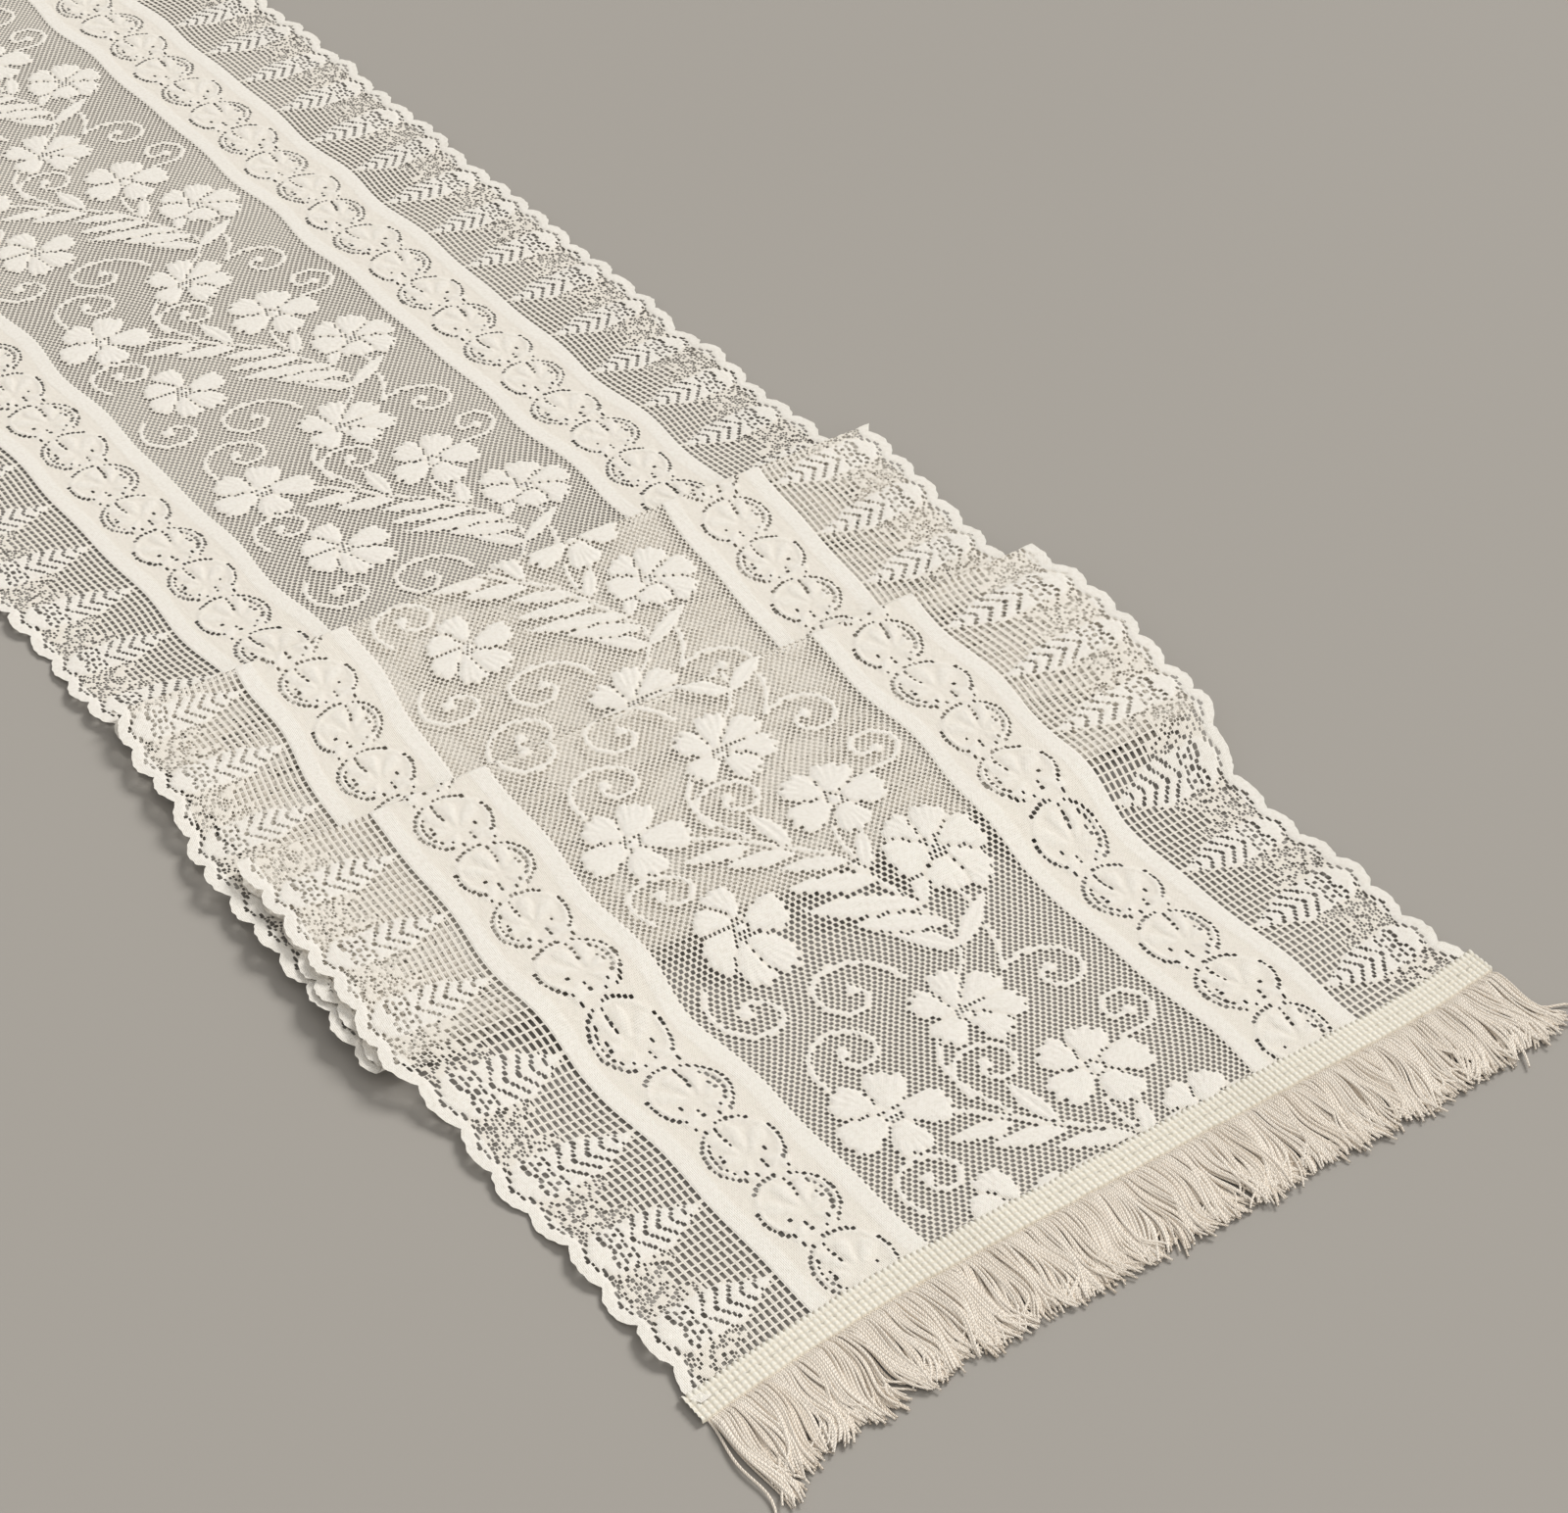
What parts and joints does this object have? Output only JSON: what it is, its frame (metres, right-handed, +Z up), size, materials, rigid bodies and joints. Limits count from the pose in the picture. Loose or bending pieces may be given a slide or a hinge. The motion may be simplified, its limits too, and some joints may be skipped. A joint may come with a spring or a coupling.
{
  "type": "table runner",
  "caption": "Knitted floral lace table runner with scalloped sides and yarn-fringed ends, lying on a table with one end folded back and forth on itself.",
  "frame": {"origin": "middle of the footprint, on the table the runner lies on", "axes": "+X along the runner towards its folded near end, +Y across it, +Z up"},
  "size_m": [1.1444, 0.3457, 0.009],
  "materials": {
    "lace": "ivory knitted lace, matt with raised floral work",
    "heading_braid": "yellowish cream woven braid, matt",
    "fringe_yarn": "cut ecru yarn, soft and matt",
    "sewing_thread": "cream sewing thread"
  },
  "bodies": {
    "root": {"lace_layer_1_table": "lace", "lace_crease_1": "lace", "lace_layer_2": "lace", "lace_crease_2_fold": "lace", "lace_layer_3": "lace", "lace_crease_3": "lace", "lace_layer_4": "lace", "lace_crease_4_fold": "lace", "lace_layer_5_on_stack": "lace", "lace_layer_5_slope": "lace", "lace_layer_5_table": "lace", "near_heading_braid": "heading_braid", "near_fringe_skirt": "fringe_yarn", "near_sewing_thread": "sewing_thread", "far_heading_braid": "heading_braid", "far_fringe_skirt": "fringe_yarn", "far_sewing_thread": "sewing_thread"}
  },
  "joints": []
}
